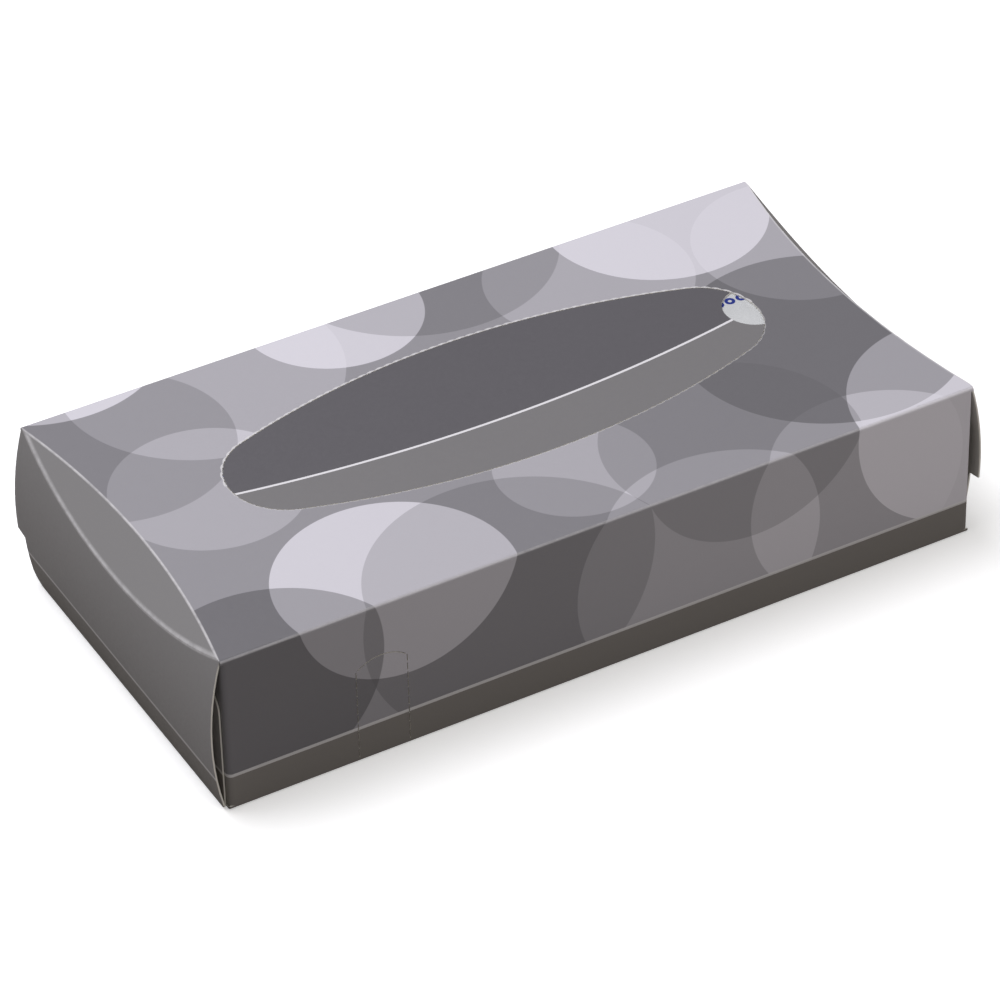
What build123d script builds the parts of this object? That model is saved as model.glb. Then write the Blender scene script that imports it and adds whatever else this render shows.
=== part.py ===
"""Flat box of facial tissues: a folded paperboard carton, the film under its top, the tissues and the glue.

Frame: origin at the middle of the base, +X along the length, +Y to the back, +Z up, millimetres.
The carton is one sheet. Its outer end flaps are hinged on the top panel through a lens-shaped bevel, whose two
curved creases lie on a cone, and they bow outwards as part of an upright-section cylinder.
"""
from build123d import *
import math
import os

# Overall sizes of the carton, over its folds
LENGTH = 230.0
WIDTH = 118.5
HEIGHT = 49.5

# Board, folds and glue
BOARD = 0.45
GLUE = 0.1
FOLD_RADIUS = 1.0
UPRIGHT_FOLD_RADIUS = 1.6
LAP_HEIGHT = 14.0

# Dust flaps, on the front and back panels
DUST_FLAP_LENGTH = 46.0
DUST_FLAP_GAP = 1.2
DUST_FLAP_CLEARANCE = 1.0

# Inner end flaps, on the bottom panel
INNER_FLAP_CLEARANCE = 3.7
INNER_FLAP_INSET = 2.0
INNER_FLAP_CORNER = 6.0

# Outer end flaps, on the top panel
BEVEL_SAGITTA = 6.0
BEVEL_SLOPE = 51.0
BEVEL_TIP_INSET = 2.2
FLAP_BOW = 3.3
FLAP_SIDE_INSET = 0.7
FLAP_LIFT = 0.4
FLAP_STEP_HEIGHT = 17.0
FLAP_STEP_DEPTH = 4.2
FLAP_STEP_RISE = 0.8
FLAP_CORNER = 5.0
FLAP_SQUARE_CORNER = 1.5

# Oval tear-out in the top panel
OVAL_LEFT_GAP = 29.6
OVAL_RIGHT_GAP = 24.4
OVAL_FRONT_GAP = 34.85
OVAL_BACK_GAP = 26.05
OVAL_END_RADIUS = 18.0
THUMB_RADIUS = 9.2

# Tear strip in the front panel
STRIP_FROM_END = 38.4
STRIP_WIDTH = 15.2
STRIP_HEIGHT = 30.0
STRIP_ARCH = 3.0

# Perforation: short cuts with bridges between them
CUT_LENGTH = 2.3
CUT_WIDTH = 0.25
CUT_PITCH = 2.9

# Film and tissues
FILM = 0.05
FILM_GLUE = 0.05
FILM_MARGIN = 9.0
FILM_GLUE_START = 2.0
FILM_GLUE_WIDTH = 4.0
FILM_SLIT_END_GAP = 17.0
FILM_SLIT_WIDTH = 0.4
TISSUE_END_GAP = 7.05
TISSUE_SIDE_GAP = 4.25
TISSUE_HEADROOM = 3.5
TISSUE_CORNER = 1.5

# Glue lines
SEAM_GLUE_LOW = 3.5
SEAM_GLUE_EDGE = 2.5
END_MARGIN = 6.0
BEAD_LOW = 3.0
BEAD_HEIGHT = 3.0
BEAD_SIDE_GAP = 15.25
FLAP_GLUE_HEIGHT = 5.0
FLAP_GLUE_LOW = 14.0
FLAP_GLUE_LENGTH = 28.0

# Worked out from the sizes above
HALF_LENGTH = LENGTH / 2
HALF_WIDTH = WIDTH / 2
TOP_INNER = HEIGHT - BOARD
DUST_FACE = HALF_LENGTH
INNER_FLAP_FACE = DUST_FACE + GLUE + BOARD
OUTER_FLAP_FOOT = INNER_FLAP_FACE + GLUE + BOARD
LAP_INNER = HALF_WIDTH - BOARD - GLUE - BOARD
TISSUE_REACH_X = DUST_FACE - BOARD - TISSUE_END_GAP
TISSUE_REACH_Y = LAP_INNER - TISSUE_SIDE_GAP
BEVEL_HALF_CHORD = HALF_WIDTH - BEVEL_TIP_INSET
BEVEL_RADIUS = (BEVEL_HALF_CHORD**2 + BEVEL_SAGITTA**2) / (2 * BEVEL_SAGITTA)
CREASE_X = HALF_LENGTH - BEVEL_SAGITTA
BEVEL_AXIS_X = CREASE_X + BEVEL_RADIUS
OVAL_LENGTH = 2 * CREASE_X - OVAL_LEFT_GAP - OVAL_RIGHT_GAP
OVAL_WIDTH = WIDTH - OVAL_FRONT_GAP - OVAL_BACK_GAP
OVAL_X = (OVAL_LEFT_GAP - OVAL_RIGHT_GAP) / 2
OVAL_Y = (OVAL_FRONT_GAP - OVAL_BACK_GAP) / 2
STRIP_LEFT = -HALF_LENGTH + STRIP_FROM_END
STRIP_RIGHT = STRIP_LEFT + STRIP_WIDTH


def under_bevel(x):
    """Height of the bevel's inner face at the middle of the width, at this distance along the box."""
    slope = math.radians(BEVEL_SLOPE)
    return HEIGHT - (x - CREASE_X) * math.tan(slope) - BOARD / math.cos(slope)


DUST_FLAP_TIP_HEIGHT = under_bevel(DUST_FACE) - DUST_FLAP_CLEARANCE
INNER_FLAP_HEIGHT = under_bevel(INNER_FLAP_FACE) - INNER_FLAP_CLEARANCE


def xz_plane(y):
    """Sketch plane with X to the right and Z up, at this Y. Its normal is -Y."""
    return Plane(origin=(0, y, 0), x_dir=(1, 0, 0), z_dir=(0, -1, 0))


def yz_plane(x):
    """Sketch plane with Y to the right and Z up, at this X. Its normal is +X."""
    return Plane(origin=(x, 0, 0), x_dir=(0, 1, 0), z_dir=(1, 0, 0))


def block(x0, x1, y0, y1, z0, z1):
    """Solid box between two opposite corners."""
    size = (abs(x1 - x0), abs(y1 - y0), abs(z1 - z0))
    return Pos((x0 + x1) / 2, (y0 + y1) / 2, (z0 + z1) / 2) * Box(*size)


def across_end(outline):
    """An outline in Y and Z, carried along X through everything at the right end."""
    start = HALF_LENGTH - 4 * END_MARGIN
    return extrude(yz_plane(start) * outline, 6 * END_MARGIN, dir=(1, 0, 0))


def folded_strip(points, radius):
    """Face of one board's thickness that follows a line of panels, with round folds, on its centre line."""
    return trace(FilletPolyline(*points, radius=radius - BOARD / 2), line_width=BOARD)


def sleeve():
    """The four long panels and the glue lap, carried along the whole length."""
    half = BOARD / 2
    lap_y = LAP_INNER + half
    back_y = HALF_WIDTH - half
    path = [
        (lap_y, LAP_HEIGHT),
        (lap_y, half),
        (-back_y, half),
        (-back_y, HEIGHT - half),
        (back_y, HEIGHT - half),
        (back_y, FOLD_RADIUS),
    ]
    section = yz_plane(-HALF_LENGTH) * folded_strip(path, FOLD_RADIUS)
    return extrude(section, LENGTH)


def dust_flap(side):
    """Flap on the front (side -1) or back (side +1) panel at the right end, with its upright fold."""
    half = BOARD / 2
    panel_y = side * (HALF_WIDTH - half)
    flap_x = DUST_FACE - half
    path = [
        (flap_x - END_MARGIN, panel_y),
        (flap_x, panel_y),
        (flap_x, panel_y - side * DUST_FLAP_LENGTH),
    ]
    strip = extrude(folded_strip(path, UPRIGHT_FOLD_RADIUS), HEIGHT)
    low, high = DUST_FLAP_GAP, HEIGHT - DUST_FLAP_GAP
    root, tip = side * HALF_WIDTH, side * (HALF_WIDTH - DUST_FLAP_LENGTH - BOARD)
    outline = Polygon(
        (root, low),
        (root, high),
        (side * (HALF_WIDTH - UPRIGHT_FOLD_RADIUS), high),
        (tip, DUST_FLAP_TIP_HEIGHT),
        (tip, HEIGHT - DUST_FLAP_TIP_HEIGHT),
        (side * (HALF_WIDTH - UPRIGHT_FOLD_RADIUS), low),
        align=None,
    )
    return strip & across_end(outline)


def inner_flap():
    """Flap on the bottom panel at the right end, outside the dust flaps."""
    half = BOARD / 2
    flap_x = INNER_FLAP_FACE - half
    path = [(flap_x - 2 * END_MARGIN, half), (flap_x, half), (flap_x, INNER_FLAP_HEIGHT)]
    reach = HALF_WIDTH - INNER_FLAP_INSET
    strip = extrude(xz_plane(reach) * folded_strip(path, FOLD_RADIUS), 2 * reach)
    sheet = Pos(0, INNER_FLAP_HEIGHT / 2) * Rectangle(2 * reach, INNER_FLAP_HEIGHT)
    outline = fillet(sheet.vertices().group_by(Axis.Y)[-1], INNER_FLAP_CORNER)
    return strip & across_end(outline)


def bow_line(inset, low, high):
    """Line of an outer end flap in section, this far inside its outer face, between two heights."""
    chord = Vector(HALF_LENGTH - OUTER_FLAP_FOOT, HEIGHT)
    radius = (chord.length**2 / 4 + FLAP_BOW**2) / (2 * FLAP_BOW)
    outward = Vector(HEIGHT, OUTER_FLAP_FOOT - HALF_LENGTH).normalized()
    middle = Vector((HALF_LENGTH + OUTER_FLAP_FOOT) / 2, HEIGHT / 2)
    centre = middle + outward * (FLAP_BOW - radius)

    def at(height):
        return Vector(centre.X + math.sqrt((radius - inset) ** 2 - (height - centre.Y) ** 2), height)

    return ThreePointArc(at(low), at((low + high) / 2), at(high))


def end_region(inset):
    """Face, in X and Z, of what lies inside the top panel and an outer end flap, this far inside their outer faces."""
    high = HEIGHT - inset
    bow = bow_line(inset, 0, high)
    inner_x = HALF_LENGTH - 3 * END_MARGIN
    rest = Polyline(bow @ 1, (inner_x, high), (inner_x, 0), bow @ 0)
    return make_face(bow + rest)


def bevel_cone(depth, thickness):
    """Ring under the cone of the bevel: it starts this deep below the cone and has this thickness."""
    slope = math.radians(BEVEL_SLOPE)
    reach = 4 * BEVEL_SAGITTA
    along = Vector(-math.cos(slope), -math.sin(slope))
    down = Vector(math.sin(slope), -math.cos(slope))
    crease = Vector(BEVEL_RADIUS, HEIGHT) + down * depth
    corners = [
        crease - along * reach,
        crease + along * reach,
        crease + along * reach + down * thickness,
        crease - along * reach + down * thickness,
    ]
    face = Plane.XZ * make_face(Polyline(*corners, close=True))
    half_angle = 2 * math.degrees(math.asin(HALF_WIDTH / BEVEL_RADIUS))
    ring = revolve(Rot(0, 0, 180 - half_angle) * face, Axis.Z, 2 * half_angle)
    return Pos(BEVEL_AXIS_X, 0, 0) * ring


def flap_outline():
    """Outline, in Y and Z, of the right outer end flap: its front side steps in above the base."""
    reach = HALF_WIDTH - FLAP_SIDE_INSET
    stepped = reach - FLAP_STEP_DEPTH
    points = [
        (-reach, HEIGHT + END_MARGIN),
        (-reach, FLAP_STEP_HEIGHT),
        (-stepped, FLAP_STEP_HEIGHT - FLAP_STEP_RISE),
        (-stepped, FLAP_LIFT),
        (reach, FLAP_LIFT),
        (reach, HEIGHT + END_MARGIN),
    ]
    sheet = Polygon(*points, align=None)
    low = sheet.vertices().group_by(Axis.Y)[0].sort_by(Axis.X)
    sheet = fillet(low[0], FLAP_CORNER)
    low = sheet.vertices().group_by(Axis.Y)[0].sort_by(Axis.X)
    return fillet(low[-1], FLAP_SQUARE_CORNER)


def outer_flap():
    """Outer end flap at the right end, with its bevel and the end of the top panel that it hangs on."""
    reach = HALF_WIDTH - FLAP_SIDE_INSET
    region = extrude(xz_plane(reach) * end_region(0), 2 * reach)
    hollow = extrude(xz_plane(reach + 1) * end_region(BOARD), 2 * reach + 2)
    cover = 10 * BEVEL_SAGITTA
    shell = region - hollow - bevel_cone(-cover, cover)
    facet = bevel_cone(0, BOARD) & region
    return (shell + facet) & across_end(flap_outline())


def right_end():
    """All five pieces of board that close the right end."""
    return outer_flap() + inner_flap() + dust_flap(-1) + dust_flap(1)


def oval_line(grow=0.0):
    """Oval of four arcs round its own middle, this much larger all round."""
    half_length, half_width = OVAL_LENGTH / 2 + grow, OVAL_WIDTH / 2 + grow
    end = OVAL_END_RADIUS + grow
    reach = half_length - end
    side = (reach**2 + half_width**2 - end**2) / (2 * (half_width - end))
    away = Vector(reach, side - half_width).normalized() * end
    joint_x, joint_y = reach + away.X, away.Y
    arcs = [
        ThreePointArc((joint_x, -joint_y), (half_length, 0), (joint_x, joint_y)),
        ThreePointArc((joint_x, joint_y), (0, half_width), (-joint_x, joint_y)),
        ThreePointArc((-joint_x, joint_y), (-half_length, 0), (-joint_x, -joint_y)),
        ThreePointArc((-joint_x, -joint_y), (0, -half_width), (joint_x, -joint_y)),
    ]
    return Wire([arc.edge() for arc in arcs])


def oval_face(grow=0.0):
    """The oval as a face, in its place over the base."""
    return Pos(OVAL_X, OVAL_Y) * make_face(oval_line(grow).edges())


def oval_cuts():
    """Perforation round the oval: one small cut at each step along the line."""
    line = oval_line()
    count = round(line.length / CUT_PITCH)
    cut = Box(CUT_LENGTH, CUT_WIDTH, 4 * BOARD)
    cuts = []
    for index in range(count):
        fraction = index / count
        turn = math.degrees(math.atan2((line % fraction).Y, (line % fraction).X))
        cuts.append(Pos(OVAL_X, OVAL_Y, HEIGHT) * Pos(line @ fraction) * Rot(0, 0, turn) * cut)
    return cuts


def thumb_hole():
    """Round hole at the oval's right tip, cut off by the oval's own line."""
    tip = Pos(OVAL_X + OVAL_LENGTH / 2, OVAL_Y) * Circle(THUMB_RADIUS)
    return extrude(Pos(0, 0, HEIGHT - 2 * BOARD) * (tip & oval_face()), 4 * BOARD)


def strip_cuts():
    """Perforation of the tear strip: two upright rows, and an arch across their tops."""
    cuts = []
    upright = Box(CUT_WIDTH, 4 * BOARD, CUT_LENGTH)
    count = int((STRIP_HEIGHT - FOLD_RADIUS) // CUT_PITCH)
    for x in (STRIP_LEFT, STRIP_RIGHT):
        for index in range(count):
            cuts.append(Pos(x, -HALF_WIDTH, STRIP_HEIGHT - CUT_LENGTH / 2 - index * CUT_PITCH) * upright)
    middle = (STRIP_LEFT + STRIP_RIGHT) / 2
    bridge = CUT_PITCH - CUT_LENGTH
    arch = ThreePointArc(
        (STRIP_LEFT, STRIP_HEIGHT),
        (middle, STRIP_HEIGHT + STRIP_ARCH),
        (STRIP_RIGHT, STRIP_HEIGHT),
    )
    line = trace(arch.trim(bridge / arch.length, 1 - bridge / arch.length), line_width=CUT_WIDTH)
    cuts.append(extrude(xz_plane(-HALF_WIDTH) * line, 2 * BOARD, both=True))
    return cuts


def carton():
    """The whole folded sheet."""
    body = sleeve()
    inner_x = HALF_LENGTH - END_MARGIN
    outside = HALF_LENGTH + 4 * END_MARGIN
    reach = HALF_WIDTH - INNER_FLAP_INSET
    cover = 10 * BEVEL_SAGITTA
    bevel = bevel_cone(-cover, cover)
    base_end = block(inner_x, outside, -reach, reach, -BOARD, 2 * BOARD)
    fold_x = HALF_LENGTH - UPRIGHT_FOLD_RADIUS
    low, high = DUST_FLAP_GAP, HEIGHT - DUST_FLAP_GAP
    corners = block(fold_x, outside, -WIDTH, WIDTH, low, high)
    end = right_end()
    for turn in (0, 180):
        side = Rot(0, 0, turn)
        body = body - side * bevel - side * base_end - side * corners
    body = body + end + Rot(0, 0, 180) * end
    return body - oval_cuts() - thumb_hole() - strip_cuts()


def window_film():
    """Film under the oval, with the slit that the tissues are drawn through."""
    high = TOP_INNER - FILM_GLUE
    long_side, short_side = OVAL_LENGTH + 2 * FILM_MARGIN, OVAL_WIDTH + 2 * FILM_MARGIN
    sheet = Rectangle(long_side, short_side) - SlotOverall(OVAL_LENGTH - 2 * FILM_SLIT_END_GAP, FILM_SLIT_WIDTH)
    return extrude(Pos(OVAL_X, OVAL_Y, high - FILM) * sheet, FILM)


def film_glue():
    """Ring of glue between the top panel and the film, clear of the perforation."""
    ring = oval_face(FILM_GLUE_START + FILM_GLUE_WIDTH) - oval_face(FILM_GLUE_START)
    return extrude(Pos(0, 0, TOP_INNER - FILM_GLUE) * ring, FILM_GLUE)


def tissue_stack():
    """The interfolded tissues, as one block with eased edges, on the bottom panel."""
    high = TOP_INNER - TISSUE_HEADROOM
    stack = block(-TISSUE_REACH_X, TISSUE_REACH_X, -TISSUE_REACH_Y, TISSUE_REACH_Y, BOARD, high)
    eased = stack.edges().filter_by(Axis.Z) + stack.edges().group_by(Axis.Z)[-1]
    return fillet(eased, TISSUE_CORNER)


def side_seam_glue():
    """Glue between the lap and the back panel."""
    face = HALF_WIDTH - BOARD
    reach = HALF_LENGTH - END_MARGIN
    return block(-reach, reach, face - GLUE, face, SEAM_GLUE_LOW, LAP_HEIGHT - SEAM_GLUE_EDGE)


def end_glue():
    """Bead between the inner and outer end flaps at the right end: a wedge that fills the gap there."""
    low, high = BEAD_LOW, BEAD_LOW + BEAD_HEIGHT
    reach = HALF_WIDTH - INNER_FLAP_INSET - BEAD_SIDE_GAP
    bow = bow_line(BOARD, low, high)
    rest = Polyline(bow @ 1, (INNER_FLAP_FACE, high), (INNER_FLAP_FACE, low), bow @ 0)
    return extrude(xz_plane(reach) * make_face(bow + rest), 2 * reach)


def flap_glue():
    """Two strips between the dust flaps and the inner end flap at the right end."""
    low, high = FLAP_GLUE_LOW, FLAP_GLUE_LOW + FLAP_GLUE_HEIGHT
    far = HALF_WIDTH - END_MARGIN
    near = far - FLAP_GLUE_LENGTH
    return [block(DUST_FACE, DUST_FACE + GLUE, side * far, side * near, low, high) for side in (-1, 1)]


def solids_of(shape):
    """Every separate solid in a shape or a list of shapes."""
    if isinstance(shape, (list, tuple)):
        return [solid for item in shape for solid in solids_of(item)]
    return list(shape.solids())


def main():
    """Write one STEP file for each piece."""
    turn = Rot(0, 0, 180)
    end_bead, end_strips = end_glue(), flap_glue()
    pieces = {
        "carton": carton(),
        "window_film": window_film(),
        "tissue_stack": tissue_stack(),
        "side_seam_glue": side_seam_glue(),
        "film_glue": film_glue(),
        "left_end_glue": turn * end_bead,
        "right_end_glue": end_bead,
        "left_flap_glue": [turn * strip for strip in end_strips],
        "right_flap_glue": end_strips,
    }
    os.makedirs("parts", exist_ok=True)
    for name, piece in pieces.items():
        solids = solids_of(piece)
        print(name, len(solids), "solid(s)", round(sum(solid.volume for solid in solids), 1), "mm3")
        export_step(Compound(children=solids), os.path.join("parts", name + ".step"))


main()
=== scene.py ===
"""Looks of a flat box of facial tissues: printed paperboard, the film under its oval, the tissues and the glue."""

import logging
import math
from dataclasses import dataclass
from enum import Enum
from typing import Any

import bpy
import numpy as np
from mathutils import Matrix, Vector


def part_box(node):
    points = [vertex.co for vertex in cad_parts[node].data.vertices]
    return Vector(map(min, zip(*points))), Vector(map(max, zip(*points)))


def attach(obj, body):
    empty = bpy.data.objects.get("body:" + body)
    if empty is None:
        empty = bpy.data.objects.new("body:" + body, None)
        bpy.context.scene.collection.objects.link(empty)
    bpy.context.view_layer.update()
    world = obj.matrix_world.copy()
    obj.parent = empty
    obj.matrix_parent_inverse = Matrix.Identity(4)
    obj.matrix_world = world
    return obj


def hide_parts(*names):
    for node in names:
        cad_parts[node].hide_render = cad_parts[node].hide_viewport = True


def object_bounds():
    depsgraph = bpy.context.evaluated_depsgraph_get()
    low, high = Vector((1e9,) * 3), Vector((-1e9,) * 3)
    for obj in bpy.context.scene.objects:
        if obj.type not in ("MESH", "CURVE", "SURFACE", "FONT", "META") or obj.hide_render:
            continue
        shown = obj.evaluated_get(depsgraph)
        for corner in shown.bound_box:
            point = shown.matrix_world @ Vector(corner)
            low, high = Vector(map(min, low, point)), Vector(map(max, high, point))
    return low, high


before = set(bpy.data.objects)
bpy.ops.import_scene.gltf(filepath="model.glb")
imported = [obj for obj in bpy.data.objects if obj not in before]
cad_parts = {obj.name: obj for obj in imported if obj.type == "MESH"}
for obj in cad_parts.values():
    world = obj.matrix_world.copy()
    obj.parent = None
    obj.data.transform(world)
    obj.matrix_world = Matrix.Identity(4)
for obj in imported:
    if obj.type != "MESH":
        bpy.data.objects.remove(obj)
CAD_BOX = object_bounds()

LOG = logging.getLogger("tissue_box")
BODY = "root"
MM = 1000.0
MATH = "ShaderNodeMath"
VECTOR_MATH = "ShaderNodeVectorMath"
MIX = "ShaderNodeMix"


def linear(hex_colour: str) -> tuple[float, float, float, float]:
    """Turn an sRGB hex colour such as '8f8d93' into linear RGBA.

    Args:
        hex_colour: six hex digits.

    Returns:
        The linear colour, by the sRGB curve: v / 12.92 below 0.04045, else ((v + 0.055) / 1.055) to the 2.4.
    """
    parts = np.array([int(hex_colour[i:i + 2], 16) for i in (0, 2, 4)]) / 255.0
    curved = np.where(parts <= 0.04045, parts / 12.92, ((parts + 0.055) / 1.055) ** 2.4)
    return (*map(float, curved), 1.0)


class Finish:
    """A material being built, with one method that adds a node."""

    def __init__(self, name: str) -> None:
        """Start an empty material.

        Args:
            name: what the real finish is called.
        """
        self.material = bpy.data.materials.new(name)
        self.material.use_nodes = True
        self.tree = self.material.node_tree
        self.tree.nodes.clear()

    def add(self, kind: str, *values: Any, **settings: Any) -> bpy.types.Node:
        """Add a node with its settings, and give its inputs values or links.

        Args:
            values: one for each input in order: a number, a colour, a node (its first output), a socket or None.
            settings: the node's own properties.

        Returns:
            The new node.
        """
        node = self.tree.nodes.new(kind)
        for key, value in settings.items():
            setattr(node, key, value)
        for socket, value in zip(node.inputs, values):
            if isinstance(value, bpy.types.Node):
                self.tree.links.new(value.outputs[0], socket)
            elif isinstance(value, bpy.types.NodeSocket):
                self.tree.links.new(value, socket)
            elif value is not None:
                socket.default_value = value
        return node

    def blend(self, share: Any, low: Any, high: Any) -> bpy.types.NodeSocket:
        """Colour between two colours.

        Args:
            share: 0 for the low colour, 1 for the high one.
            low, high: colours, nodes or sockets.

        Returns:
            The mixed colour.
        """
        node = self.add(MIX, share, data_type="RGBA")
        for socket, value in zip((node.inputs[6], node.inputs[7]), (low, high)):
            if isinstance(value, bpy.types.Node):
                self.tree.links.new(value.outputs[0], socket)
            elif isinstance(value, bpy.types.NodeSocket):
                self.tree.links.new(value, socket)
            else:
                socket.default_value = value
        return node.outputs[2]

    def surface(self, colour: Any, bump: Any = None, **sockets: float) -> bpy.types.Material:
        """Close the material with a Principled shader.

        Args:
            colour: the base colour.
            bump: a height in millimetres, or None.
            sockets: values set on the shader's own sockets, with _ for a space.

        Returns:
            The finished material.
        """
        shader = self.add("ShaderNodeBsdfPrincipled", colour)
        for name, value in sockets.items():
            socket = shader.inputs[name.replace("_", " ")]
            if isinstance(value, (bpy.types.Node, bpy.types.NodeSocket)):
                self.tree.links.new(value.outputs[0] if isinstance(value, bpy.types.Node) else value, socket)
            else:
                socket.default_value = value
        if bump is not None:
            relief = self.add("ShaderNodeBump", 1.0, 1.0 / MM)
            self.tree.links.new(bump.outputs[0], relief.inputs["Height"])
            self.tree.links.new(relief.outputs[0], shader.inputs["Normal"])
        self.add("ShaderNodeOutputMaterial", shader)
        return self.material


class Tone(Enum):
    """How much a printed field lightens or darkens what lies under it."""

    PALE = 2.15
    LIGHT = 1.4
    DIM = 0.74
    DARK = 0.55


@dataclass(frozen=True)
class Disc:
    """One printed disc on the unrolled top, front and back panels, in millimetres."""

    across: float
    up: float
    radius: float
    tone: Tone


@dataclass(frozen=True)
class PrintedBoard:
    """Offset-printed folding boxboard with a satin varnish: soft gloss, pale folds that are partly cracked ink and
    partly a painted highlight, and a white core.

    Sizes are millimetres over the folds. The print is overlapping translucent discs, which run over the long folds.
    """

    length: float = 230.0
    board: float = 0.45
    bevel_sagitta: float = 6.0
    bevel_slope: float = 51.0
    bevel_tip_inset: float = 2.2
    bow: float = 3.3
    foot: float = 1.1
    stripe_height: float = 11.2
    stripe_width: float = 1.0
    oval_length: float = 164.0
    oval_width: float = 57.6
    oval_end_radius: float = 18.0
    oval_x: float = 2.6
    oval_y: float = 4.4
    cut_pitch: float = 2.9
    line_sagitta: float = 7.2
    line_width: float = 0.8
    base: str = "96949a"
    end_base: str = "918f90"
    core: str = "e4e1da"
    inside: str = "b9b5ac"
    oval_dark: str = "5f5d62"
    oval_light: str = "7b797b"
    line: str = "e6e4e8"
    # Pale colour for the printed stripe, the rim round the oval and the fold lines; on the folds it is partly wear and
    # partly a painted highlight.
    pale_line_and_highlight: str = "dddbdd"

    DISCS = (
        Disc(-98, 38, 34, Tone.DIM),
        Disc(-84, 8, 27, Tone.LIGHT),
        Disc(-62, 56, 40, Tone.LIGHT),
        Disc(-60, -52, 33, Tone.PALE),
        Disc(-30, -70, 44, Tone.DIM),
        Disc(-104, -72, 36, Tone.DARK),
        Disc(-18, 62, 26, Tone.PALE),
        Disc(4, -34, 22, Tone.LIGHT),
        Disc(16, 78, 42, Tone.DIM),
        Disc(28, -84, 38, Tone.LIGHT),
        Disc(52, 40, 30, Tone.LIGHT),
        Disc(46, -46, 36, Tone.DIM),
        Disc(84, 58, 33, Tone.PALE),
        Disc(92, -18, 40, Tone.DARK),
        Disc(78, -78, 34, Tone.LIGHT),
        Disc(116, -64, 38, Tone.PALE),
        Disc(112, 26, 30, Tone.LIGHT),
        Disc(-40, 96, 32, Tone.DARK),
        Disc(64, 98, 34, Tone.LIGHT),
        Disc(-96, 90, 36, Tone.PALE),
    )

    def make(self, width: float, height: float) -> bpy.types.Material:
        """Build the material.

        Args:
            width, height: the carton's, in millimetres.

        Returns:
            The material, on Object coordinates.
        """
        fin = Finish("satin_printed_boxboard")
        place = fin.add("ShaderNodeTexCoord").outputs["Object"]
        point = fin.add(VECTOR_MATH, place, (MM, MM, MM), operation="MULTIPLY")
        axes = fin.add("ShaderNodeSeparateXYZ", point)
        x, y, z = axes.outputs
        normal = fin.add("ShaderNodeNewGeometry").outputs["True Normal"]
        ways = fin.add("ShaderNodeSeparateXYZ", normal)
        across_x = fin.add(MATH, x, operation="ABSOLUTE")
        facing_end = fin.add(MATH, ways.outputs[0], operation="ABSOLUTE")
        facing_up = ways.outputs[2]

        facing_out = self.facing_out(fin, point, normal, width, height)
        printed = fin.add(MATH, facing_out, 0.35, operation="GREATER_THAN")
        lining = fin.add(MATH, facing_out, -0.35, operation="LESS_THAN")

        ground = self.discs(fin, x, y, z, height)
        on_flap = fin.add(MATH, across_x, self.length / 2 + 0.03, operation="GREATER_THAN")
        on_bevel = fin.add(MATH, facing_end, 0.25, operation="GREATER_THAN")
        on_bevel = fin.add(MATH, on_bevel, fin.add(MATH, facing_up, 0.3, operation="GREATER_THAN"), operation="MULTIPLY")
        on_end = fin.add(MATH, on_flap, on_bevel, operation="MAXIMUM")
        colour = fin.blend(on_end, ground, linear(self.end_base))

        side = fin.add(MATH, fin.add(MATH, facing_up, operation="ABSOLUTE"), 0.6, operation="LESS_THAN")
        below = fin.add(MATH, z, self.stripe_height, operation="LESS_THAN")
        band = fin.add(MATH, side, below, operation="MULTIPLY")
        colour = fin.blend(band, colour, linear("7d7976"))
        off_stripe = fin.add(MATH, fin.add(MATH, z, self.stripe_height, operation="SUBTRACT"), operation="ABSOLUTE")
        stripe = fin.add(MATH, off_stripe, self.stripe_width / 2, operation="LESS_THAN")
        stripe = fin.add(MATH, stripe, side, operation="MULTIPLY")
        stripe = fin.add(MATH, stripe, 0.72, operation="MULTIPLY")
        colour = fin.blend(stripe, colour, linear(self.pale_line_and_highlight))

        on_top = fin.add(MATH, facing_up, 0.9, operation="GREATER_THAN")
        edge = self.oval_distance(fin, x, y)
        inside = fin.add(MATH, fin.add(MATH, edge, 0.0, operation="LESS_THAN"), on_top, operation="MULTIPLY")
        off_line = self.line_distance(fin, x, y)
        lower = fin.add(MATH, off_line, 0.0, operation="GREATER_THAN")
        field = fin.blend(lower, linear(self.oval_dark), linear(self.oval_light))
        on_line = fin.add(MATH, fin.add(MATH, off_line, operation="ABSOLUTE"), self.line_width / 2,
                          operation="LESS_THAN")
        field = fin.blend(on_line, field, linear(self.line))
        colour = fin.blend(inside, colour, field)
        # Pale rim just outside the oval's cut: white die-cut fibre with a painted highlight, wider and brighter on the
        # far side, scalloped by the cuts.
        far_side = fin.add(MATH, y, self.oval_y + 2.0, operation="GREATER_THAN")
        depth = fin.add("ShaderNodeMapRange", self.oval_teeth(fin, x, y), 0.0, 1.0, 0.3, 0.7)
        depth = fin.add(MATH, depth, fin.add("ShaderNodeMapRange", far_side, 0.0, 1.0, 0.6, 1.0), operation="MULTIPLY")
        rim_fibre_and_highlight = fin.add(MATH, fin.add(MATH, edge, depth, operation="LESS_THAN"),
                      fin.add(MATH, edge, -0.05, operation="GREATER_THAN"), operation="MULTIPLY")
        rim_fibre_and_highlight = fin.add(MATH, rim_fibre_and_highlight, on_top, operation="MULTIPLY")
        rim_fibre_and_highlight = fin.add(MATH, rim_fibre_and_highlight, fin.add("ShaderNodeMapRange", far_side, 0.0, 1.0, 0.35, 0.8), operation="MULTIPLY")
        colour = fin.blend(rim_fibre_and_highlight, colour, linear(self.pale_line_and_highlight))

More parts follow.
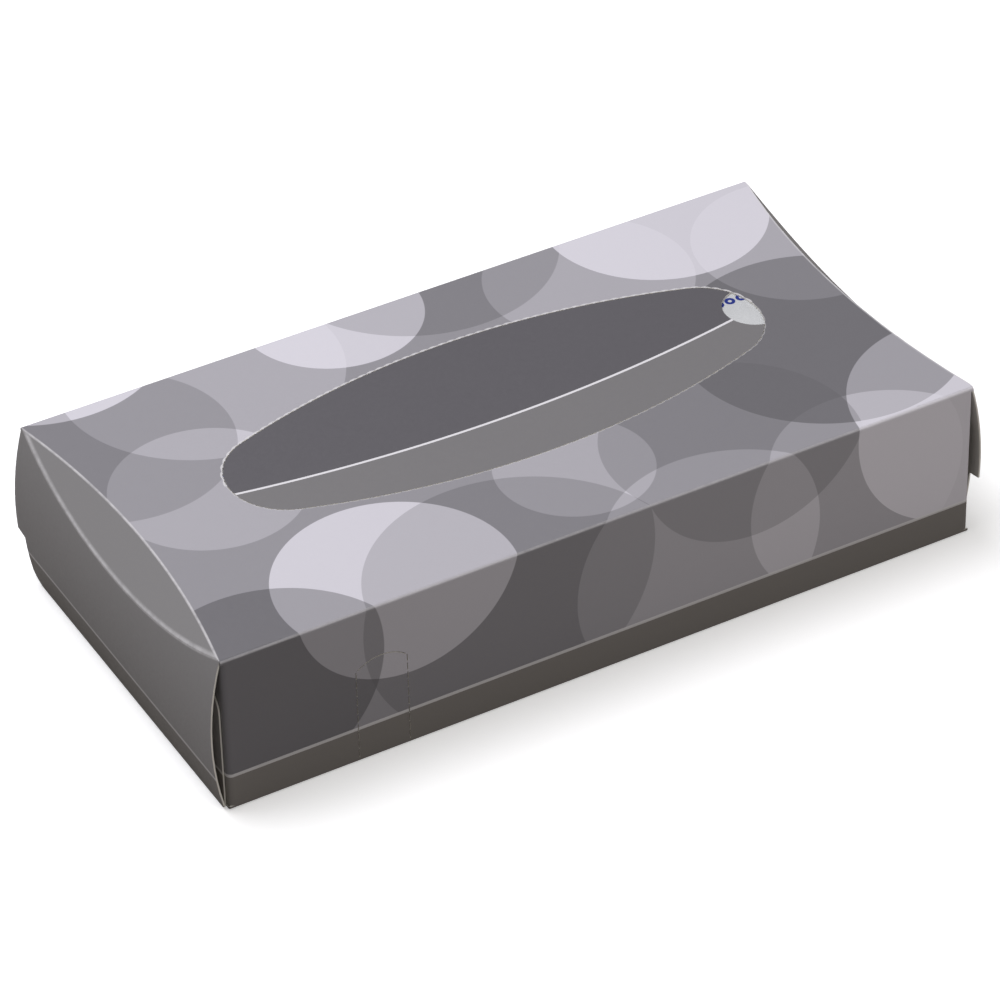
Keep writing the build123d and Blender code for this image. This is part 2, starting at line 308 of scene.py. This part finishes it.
        # Pale fold lines: cracked ink and varnish, and a painted highlight along the rounded folds.
        wear_and_highlight = self.fold_wear_and_highlight(fin, place, across_x, y, z, width, height)
        colour = fin.blend(wear_and_highlight, colour, linear(self.pale_line_and_highlight))
        colour = fin.blend(printed, linear(self.core), colour)
        colour = fin.blend(lining, colour, linear(self.inside))

        grain = fin.add("ShaderNodeTexNoise", place, None, 900.0, 3.0, 0.6)
        sheen = fin.add("ShaderNodeMapRange", grain, 0.3, 0.7, 0.34, 0.46)
        wave = fin.add("ShaderNodeTexNoise", place, None, 14.0, 1.0, 0.4)
        wave = fin.add(MATH, wave, 0.35, operation="MULTIPLY")
        relief = fin.add(MATH, fin.add(MATH, grain, 0.006, operation="MULTIPLY"), wave, operation="ADD")
        return fin.surface(colour, relief, Roughness=sheen, IOR=1.48)

    def facing_out(self, fin: Finish, point: Any, normal: Any, width: float, height: float) -> bpy.types.Node:
        """How far a face looks out of the box: above 0.35 on the print, below -0.35 on the lining, 0 on a cut edge.

        Round the length it is the normal times the unit vector from a smaller box inside. Beyond the curved
        creases it is the normal's own X, away from the middle. The larger of the two counts.
        """
        inset, far = 1.5, 10000.0
        near = fin.add(VECTOR_MATH, point, (-far, inset - width / 2, inset), operation="MAXIMUM")
        near = fin.add(VECTOR_MATH, near, (far, width / 2 - inset, height - inset), operation="MINIMUM")
        away = fin.add(VECTOR_MATH, point, near, operation="SUBTRACT")
        away = fin.add(VECTOR_MATH, away, operation="NORMALIZE")
        round_length = fin.add(VECTOR_MATH, away, normal, operation="DOT_PRODUCT").outputs["Value"]
        x = fin.add("ShaderNodeSeparateXYZ", point).outputs[0]
        off_middle = fin.add(MATH, x, operation="ABSOLUTE")
        on_panels = fin.add(MATH, off_middle, self.length / 2 + 0.03, operation="LESS_THAN")
        round_length = fin.add(MATH, round_length, on_panels, operation="MULTIPLY")
        outward = fin.add("ShaderNodeSeparateXYZ", normal).outputs[0]
        outward = fin.add(MATH, outward, fin.add(MATH, x, operation="SIGN"), operation="MULTIPLY")
        past_crease = fin.add(MATH, off_middle, self.length / 2 - self.bevel_sagitta - 0.2, operation="GREATER_THAN")
        outward = fin.add(MATH, outward, past_crease, operation="MULTIPLY")
        return fin.add(MATH, round_length, outward, operation="MAXIMUM")

    def discs(self, fin: Finish, x: Any, y: Any, z: Any, height: float) -> bpy.types.NodeSocket:
        """Base grey times each disc's tone. The panels are unrolled: distance down a side is added to Y."""
        drop = fin.add(MATH, height, z, operation="SUBTRACT")
        drop = fin.add(MATH, drop, fin.add(MATH, y, operation="SIGN"), operation="MULTIPLY")
        up = fin.add(MATH, y, drop, operation="ADD")
        sheet = fin.add("ShaderNodeCombineXYZ", x, up, 0.0)
        tone = 1.0
        for disc in self.DISCS:
            far = fin.add(VECTOR_MATH, sheet, (disc.across, disc.up, 0.0), operation="DISTANCE").outputs["Value"]
            share = fin.add("ShaderNodeMapRange", far, disc.radius - 0.08, disc.radius + 0.08,
                            disc.tone.value, 1.0)
            tone = fin.add(MATH, tone, share, operation="MULTIPLY")
        tone = fin.add(MATH, tone, 2.3, operation="MINIMUM")
        tone = fin.add(MATH, tone, 0.5, operation="MAXIMUM")
        grey = fin.add(VECTOR_MATH, linear(self.base)[:3], None, operation="SCALE")
        fin.tree.links.new(tone.outputs[0], grey.inputs["Scale"])
        return grey.outputs[0]

    def oval_distance(self, fin: Finish, x: Any, y: Any) -> bpy.types.Node:
        """Signed distance to the oval of four arcs, negative inside: two end arcs and two long ones."""
        reach = self.oval_length / 2 - self.oval_end_radius
        half = self.oval_width / 2
        long_radius = (reach**2 + half**2 - self.oval_end_radius**2) / (2 * (half - self.oval_end_radius))
        deep = long_radius - half
        across = fin.add(MATH, fin.add(MATH, x, self.oval_x, operation="SUBTRACT"), operation="ABSOLUTE")
        up = fin.add(MATH, fin.add(MATH, y, self.oval_y, operation="SUBTRACT"), operation="ABSOLUTE")
        spot = fin.add("ShaderNodeCombineXYZ", across, up, 0.0)
        end = fin.add(VECTOR_MATH, spot, (reach, 0.0, 0.0), operation="DISTANCE").outputs["Value"]
        end = fin.add(MATH, end, self.oval_end_radius, operation="SUBTRACT")
        side = fin.add(VECTOR_MATH, spot, (0.0, -deep, 0.0), operation="DISTANCE").outputs["Value"]
        side = fin.add(MATH, side, long_radius, operation="SUBTRACT")
        limit = fin.add(MATH, across, deep / reach, operation="MULTIPLY")
        limit = fin.add(MATH, limit, deep, operation="SUBTRACT")
        at_end = fin.add(MATH, up, limit, operation="LESS_THAN")
        both = fin.add(MIX, at_end, None, side, end, data_type="FLOAT")
        return both

    def oval_teeth(self, fin: Finish, x: Any, y: Any) -> bpy.types.Node:
        """Wave from 0 to 1 along the oval, one for each cut: the sine of the arc length over the pitch."""
        reach = self.oval_length / 2 - self.oval_end_radius
        half = self.oval_width / 2
        long_radius = (reach**2 + half**2 - self.oval_end_radius**2) / (2 * (half - self.oval_end_radius))
        across = fin.add(MATH, x, self.oval_x, operation="SUBTRACT")
        up = fin.add(MATH, fin.add(MATH, y, self.oval_y, operation="SUBTRACT"), operation="ABSOLUTE")
        up = fin.add(MATH, up, long_radius - half, operation="ADD")
        along = fin.add(MATH, fin.add(MATH, across, up, operation="ARCTAN2"), long_radius, operation="MULTIPLY")
        wave = fin.add(MATH, along, math.pi / self.cut_pitch, operation="MULTIPLY")
        return fin.add(MATH, fin.add(MATH, wave, operation="SINE"), operation="ABSOLUTE")

    def line_distance(self, fin: Finish, x: Any, y: Any) -> bpy.types.Node:
        """Distance past the thin curved line that parts the oval's two fields, positive on the front field."""
        half = self.oval_length / 2 - 4
        radius = (half**2 + self.line_sagitta**2) / (2 * self.line_sagitta)
        centre = (self.oval_x - 4, radius - self.line_sagitta + 2.0, 0.0)
        spot = fin.add("ShaderNodeCombineXYZ", x, y, 0.0)
        far = fin.add(VECTOR_MATH, spot, centre, operation="DISTANCE").outputs["Value"]
        return fin.add(MATH, far, radius, operation="SUBTRACT")

    def fold_wear_and_highlight(self, fin: Finish, place: Any, across_x: Any, y: Any, z: Any, width: float,
                  height: float) -> bpy.types.Node:
        """Pale line along a fold, partly where varnish and ink crack and partly a painted highlight on the rounded
        fold: the long top folds and the two curved creases.
        """
        half_chord = width / 2 - self.bevel_tip_inset
        radius = (half_chord**2 + self.bevel_sagitta**2) / (2 * self.bevel_sagitta)
        axis_x = self.length / 2 - self.bevel_sagitta + radius
        spot = fin.add("ShaderNodeCombineXYZ", across_x, y, 0.0)
        far = fin.add(VECTOR_MATH, spot, (axis_x, 0.0, 0.0), operation="DISTANCE").outputs["Value"]
        out = fin.add(MATH, radius, far, operation="SUBTRACT")
        off_top = fin.add(MATH, height, z, operation="SUBTRACT")
        inner = fin.add(MATH, fin.add(MATH, out, operation="ABSOLUTE"),
                        fin.add(MATH, off_top, operation="ABSOLUTE"), operation="ADD")
        cone = fin.add(MATH, out, math.tan(math.radians(self.bevel_slope)), operation="MULTIPLY")
        off_cone = fin.add(MATH, off_top, cone, operation="SUBTRACT")
        off_cone = fin.add(MATH, off_cone, operation="ABSOLUTE")
        bow = self.bow_at(fin, z, height)
        off_bow = fin.add(MATH, fin.add(MATH, bow, across_x, operation="SUBTRACT"), operation="ABSOLUTE")
        outer = fin.add(MATH, off_cone, off_bow, operation="ADD")
        side = fin.add(MATH, y, operation="ABSOLUTE")
        off_side = fin.add(MATH, width / 2, side, operation="SUBTRACT")
        long_fold = fin.add(MATH, off_side, off_top, operation="ADD")
        crack = fin.add("ShaderNodeTexNoise", place, None, 260.0, 4.0, 0.7)
        total = None
        for distance, reach, strength in ((inner, 0.55, 0.75), (outer, 0.6, 0.6), (long_fold, 0.75, 0.8)):
            line = fin.add("ShaderNodeMapRange", distance, reach * 0.45, reach, strength, 0.0)
            total = line if total is None else fin.add(MATH, total, line, operation="MAXIMUM")
        amount = fin.add("ShaderNodeMapRange", crack, 0.25, 0.6, 0.35, 1.0)
        return fin.add(MATH, total, amount, operation="MULTIPLY")

    def bow_at(self, fin: Finish, z: Any, height: float) -> bpy.types.Node:
        """Outer face of a bowed end flap at a height: the arc over a chord from the top fold to the foot."""
        chord = math.hypot(self.foot, height)
        radius = (chord**2 / 4 + self.bow**2) / (2 * self.bow)
        out_x, out_z = height / chord, self.foot / chord
        centre_x = self.length / 2 + self.foot / 2 + out_x * (self.bow - radius)
        centre_z = height / 2 + out_z * (self.bow - radius)
        rise = fin.add(MATH, z, centre_z, operation="SUBTRACT")
        rise = fin.add(MATH, rise, rise, operation="MULTIPLY")
        reach = fin.add(MATH, radius**2, rise, operation="SUBTRACT")
        reach = fin.add(MATH, reach, operation="SQRT")
        return fin.add(MATH, reach, centre_x, operation="ADD")


@dataclass(frozen=True)
class Film:
    """Blown polyethylene film: milky, slightly glossy, with small blue rings printed on it in rows."""

    ring_pitch: float = 3.6
    ring_radius: float = 1.05
    ring_width: float = 0.5
    milk: str = "eceef0"
    ink: str = "1d2f86"

    def make(self) -> bpy.types.Material:
        """Build the material on Object coordinates."""
        fin = Finish("milky_polyethylene_film")
        place = fin.add("ShaderNodeTexCoord").outputs["Object"]
        point = fin.add(VECTOR_MATH, place, (MM, MM, MM), operation="MULTIPLY")
        axes = fin.add("ShaderNodeSeparateXYZ", point)
        spots = []
        for socket, pitch, start in ((axes.outputs[0], self.ring_pitch, 80.2), (axes.outputs[1], 22.0, 10.4)):
            shifted = fin.add(MATH, socket, (1000 + 0.5) * pitch - start, operation="ADD")
            wrapped = fin.add(MATH, shifted, pitch, operation="MODULO")
            spots.append(fin.add(MATH, wrapped, pitch / 2, operation="SUBTRACT"))
        spot = fin.add("ShaderNodeCombineXYZ", spots[0], spots[1], 0.0)
        far = fin.add(VECTOR_MATH, spot, operation="LENGTH").outputs["Value"]
        off = fin.add(MATH, fin.add(MATH, far, self.ring_radius, operation="SUBTRACT"), operation="ABSOLUTE")
        ring = fin.add("ShaderNodeMapRange", off, self.ring_width - 0.06, self.ring_width + 0.06, 1.0, 0.0)
        colour = fin.blend(ring, linear(self.milk), linear(self.ink))
        wrinkle = fin.add("ShaderNodeTexNoise", place, None, 120.0, 2.0, 0.5)
        relief = fin.add(MATH, wrinkle, 0.15, operation="MULTIPLY")
        clear = fin.add("ShaderNodeMapRange", ring, 0.0, 1.0, 0.55, 0.97)
        return fin.surface(colour, relief, Roughness=0.3, IOR=1.51, Alpha=clear)


@dataclass(frozen=True)
class Tissue:
    """Creped two-ply tissue: matt, soft white, with fine crepe lines and the edges of the folded sheets."""

    sheet_pitch: float = 0.45
    white: str = "f3f3f1"
    shade: str = "e4e4e0"

    def make(self) -> bpy.types.Material:
        """Build the material on Object coordinates. The crepe is drawn at 0.7 mm, coarser than real, to show."""
        fin = Finish("creped_tissue")
        place = fin.add("ShaderNodeTexCoord").outputs["Object"]
        stretched = fin.add("ShaderNodeMapping", place, None, None, (1.0, 4.0, 1.0))
        crepe = fin.add("ShaderNodeTexNoise", stretched, None, 1400.0, 3.0, 0.6)
        axes = fin.add("ShaderNodeSeparateXYZ", place)
        layers = fin.add(MATH, axes.outputs[2], 2 * math.pi * MM / self.sheet_pitch, operation="MULTIPLY")
        layers = fin.add(MATH, layers, operation="SINE")
        normal = fin.add("ShaderNodeSeparateXYZ", fin.add("ShaderNodeNewGeometry").outputs["Normal"])
        side = fin.add(MATH, fin.add(MATH, normal.outputs[2], operation="ABSOLUTE"), 0.5, operation="LESS_THAN")
        layers = fin.add(MATH, fin.add(MATH, layers, side, operation="MULTIPLY"), 0.12, operation="MULTIPLY")
        relief = fin.add(MATH, fin.add(MATH, crepe, 0.1, operation="MULTIPLY"), layers, operation="ADD")
        colour = fin.blend(crepe, linear(self.shade), linear(self.white))
        return fin.surface(colour, relief, Roughness=0.95, IOR=1.45)


@dataclass(frozen=True)
class Adhesive:
    """Dried hot-melt and dispersion glue: creamy, half gloss, a little lumpy."""

    cream: str = "ded3b4"
    pale: str = "ece6d2"

    def make(self) -> bpy.types.Material:
        """Build the material on Object coordinates."""
        fin = Finish("dried_glue")
        place = fin.add("ShaderNodeTexCoord").outputs["Object"]
        lumps = fin.add("ShaderNodeTexNoise", place, None, 700.0, 2.0, 0.5)
        colour = fin.blend(lumps, linear(self.cream), linear(self.pale))
        return fin.surface(colour, fin.add(MATH, lumps, 0.05, operation="MULTIPLY"), Roughness=0.35, IOR=1.48)


def dress(node: str, material: bpy.types.Material) -> None:
    """Give every material slot of a CAD node one finish.

    Args:
        node: the CAD node's name.
        material: its finish.
    """
    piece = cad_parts[node]
    piece.data.materials.clear()
    piece.data.materials.append(material)
    LOG.info("%s is dressed in %s", node, material.name)


@dataclass
class TissueStack:
    """The interfolded tissues: a soft block, whose top sinks a little to its rim and is gently uneven."""

    corner: float = 0.004
    crown: float = 0.0008
    rings: int = 26
    side_rows: int = 40
    around: int = 360

    def outline(self, half_x: np.ndarray, half_y: np.ndarray) -> tuple[np.ndarray, np.ndarray]:
        """Rounded rectangles, one row for each pair of half sizes: a superellipse of power 24."""
        turn = np.linspace(0.0, 2 * np.pi, self.around, endpoint=False)[None, :]
        cos, sin = np.cos(turn), np.sin(turn)
        size = (np.abs(cos) ** 24 + np.abs(sin) ** 24) ** (-1 / 24)
        return half_x[:, None] * cos * size, half_y[:, None] * sin * size

    def build(self, material: bpy.types.Material) -> bpy.types.Object:
        """Rings up the sides and in over the top, over a flat base, inside the CAD node's box."""
        low, high = (np.array(corner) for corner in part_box("tissue_stack"))
        half = (high - low) / 2
        middle = (high + low) / 2
        up = np.linspace(0.0, 1.0, self.side_rows)
        inset_side = np.where(up > 0.9, 0.0012 * ((up - 0.9) / 0.1) ** 2, 0.0) + 0.00025 * np.sin(up * 190.0) ** 2
        inward = np.linspace(0.02, 0.97, self.rings)
        inset_top = 0.0012 + inward * (half[1] - 0.0012)
        inset = np.concatenate([inset_side, inset_top])
        wide, deep = self.outline(half[0] - inset, half[1] - inset)
        rise = np.concatenate([low[2] + up * (half[2] * 2 - self.crown), np.full(self.rings, high[2] - self.crown)])
        z = np.repeat(rise[:, None], self.around, axis=1)
        over = np.concatenate([np.zeros(self.side_rows), np.clip(inward * 3, 0, 1)])[:, None]
        wave = 0.5 + 0.25 * np.sin(wide * 140 + 1.0) + 0.25 * np.sin(deep * 210 + wide * 60)
        z = z + over * self.crown * wave
        points = np.stack([wide + middle[0], deep + middle[1], z], axis=-1).reshape(-1, 3)
        rows = len(inset)
        start = np.arange(rows - 1)[:, None] * self.around + np.arange(self.around)[None, :]
        along = np.arange(rows - 1)[:, None] * self.around + (np.arange(self.around)[None, :] + 1) % self.around
        faces = np.stack([start, along, along + self.around, start + self.around], axis=-1).reshape(-1, 4).tolist()
        faces.append(list(range(self.around))[::-1])
        faces.append(list(range((rows - 1) * self.around, rows * self.around)))
        mesh = bpy.data.meshes.new("tissues")
        mesh.from_pydata(points.tolist(), [], faces)
        mesh.shade_smooth()
        mesh.materials.append(material)
        piece = bpy.data.objects.new("tissues", mesh)
        bpy.context.collection.objects.link(piece)
        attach(piece, BODY)
        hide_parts("tissue_stack")
        LOG.info("tissues: %d faces", len(mesh.polygons))
        return piece


@dataclass
class Studio:
    """Camera, soft overhead light, dim surround and a pale floor. Angles in degrees, lengths in metres."""

    azimuth: float = -28.8
    elevation: float = 37.2
    distance: float = 1.4093
    roll: float = -1.43
    lens: float = 184.7
    target: tuple[float, float, float] = (-0.0001, 0.0, 0.0178)
    key_power: float = 17.0
    fill_power: float = 5.0
    surround: float = 0.22
    floor_glow: float = 0.35

    def camera(self) -> None:
        """Place the camera on its line of sight, turned by its roll."""
        turn, rise = math.radians(self.azimuth), math.radians(self.elevation)
        back = Vector((math.sin(turn) * math.cos(rise), -math.cos(turn) * math.cos(rise), math.sin(rise)))
        right = Vector((0, 0, 1)).cross(back).normalized()
        up = back.cross(right)
        roll = math.radians(self.roll)
        tilted = right * math.cos(roll) + up * math.sin(roll)
        upright = up * math.cos(roll) - right * math.sin(roll)
        lens = bpy.data.cameras.new("camera")
        lens.lens = self.lens
        lens.sensor_width = 36.0
        lens.clip_start, lens.clip_end = 0.05, 50.0
        eye = bpy.data.objects.new("camera", lens)
        eye.matrix_world = Matrix.Translation(Vector(self.target) + back * self.distance) @ Matrix(
            (tilted, upright, back)).transposed().to_4x4()
        bpy.context.collection.objects.link(eye)
        bpy.context.scene.camera = eye

    def light(self, name: str, place: tuple[float, float, float], size: float, power: float, colour: str) -> None:
        """A square soft light that looks at the box."""
        lamp = bpy.data.lights.new(name, "AREA")
        lamp.size, lamp.energy, lamp.color = size, power, linear(colour)[:3]
        item = bpy.data.objects.new(name, lamp)
        item.location = place
        item.rotation_euler = (Vector(self.target) - Vector(place)).to_track_quat("-Z", "Y").to_euler()
        bpy.context.collection.objects.link(item)

    def floor(self) -> None:
        """A wide pale floor, white to the camera and mid grey to the light that bounces off it."""
        fin = Finish("matt_floor")
        path = fin.add("ShaderNodeLightPath")
        seen = path.outputs["Is Camera Ray"]
        place = fin.add("ShaderNodeTexCoord").outputs["Object"]
        grain = fin.add("ShaderNodeTexNoise", place, None, 300.0, 2.0, 0.5)
        pale = fin.blend(grain, linear("fbfbfb"), linear("ffffff"))
        glow = fin.add(MATH, seen, self.floor_glow, operation="MULTIPLY")
        material = fin.surface(fin.blend(seen, linear("8a8682"), pale), None, Roughness=0.9,
                               Emission_Color=linear("ffffff"), Emission_Strength=glow)
        half, low = 6.0, CAD_BOX[0][2]
        mesh = bpy.data.meshes.new("floor")
        corners = [(-half, -half, low), (half, -half, low), (half, half, low), (-half, half, low)]
        mesh.from_pydata(corners, [], [(0, 1, 2, 3)])
        mesh.materials.append(material)
        item = bpy.data.objects.new("floor", mesh)
        bpy.context.collection.objects.link(item)

    def world(self) -> None:
        """White to the camera, and a dim warm surround for the sides of the box."""
        world = bpy.data.worlds.new("surround")
        bpy.context.scene.world = world
        world.use_nodes = True
        tree = world.node_tree
        tree.nodes.clear()
        path = tree.nodes.new("ShaderNodeLightPath")
        level = tree.nodes.new("ShaderNodeMapRange")
        level.inputs["To Min"].default_value = self.surround
        level.inputs["To Max"].default_value = 1.0
        tree.links.new(path.outputs["Is Camera Ray"], level.inputs["Value"])
        back = tree.nodes.new("ShaderNodeBackground")
        tree.links.new(level.outputs[0], back.inputs["Strength"])
        back.inputs["Color"].default_value = (1.0, 0.985, 0.97, 1.0)
        out = tree.nodes.new("ShaderNodeOutputWorld")
        tree.links.new(back.outputs[0], out.inputs["Surface"])

    def build(self) -> None:
        """Set up the whole studio."""
        self.camera()
        self.light("overhead", (-0.35, 0.4, 1.3), 1.1, self.key_power, "fbfbff")
        self.light("front_fill", (0.5, -1.2, 0.8), 0.8, self.fill_power, "fffaf4")
        self.floor()
        self.world()
        bpy.context.scene.view_settings.view_transform = "Standard"


def main() -> None:
    """Build the studio and dress every piece."""
    logging.basicConfig(level=logging.INFO, format="%(name)s: %(message)s")
    Studio().build()
    low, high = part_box("carton")
    board = PrintedBoard().make((high[1] - low[1]) * MM, (high[2] - low[2]) * MM)
    dress("carton", board)
    dress("window_film", Film().make())
    glue = Adhesive().make()
    for node in ("side_seam_glue", "film_glue", "left_end_glue", "right_end_glue", "left_flap_glue",
                 "right_flap_glue"):
        dress(node, glue)
    TissueStack().build(Tissue().make())


if __name__ == "__main__":
    main()
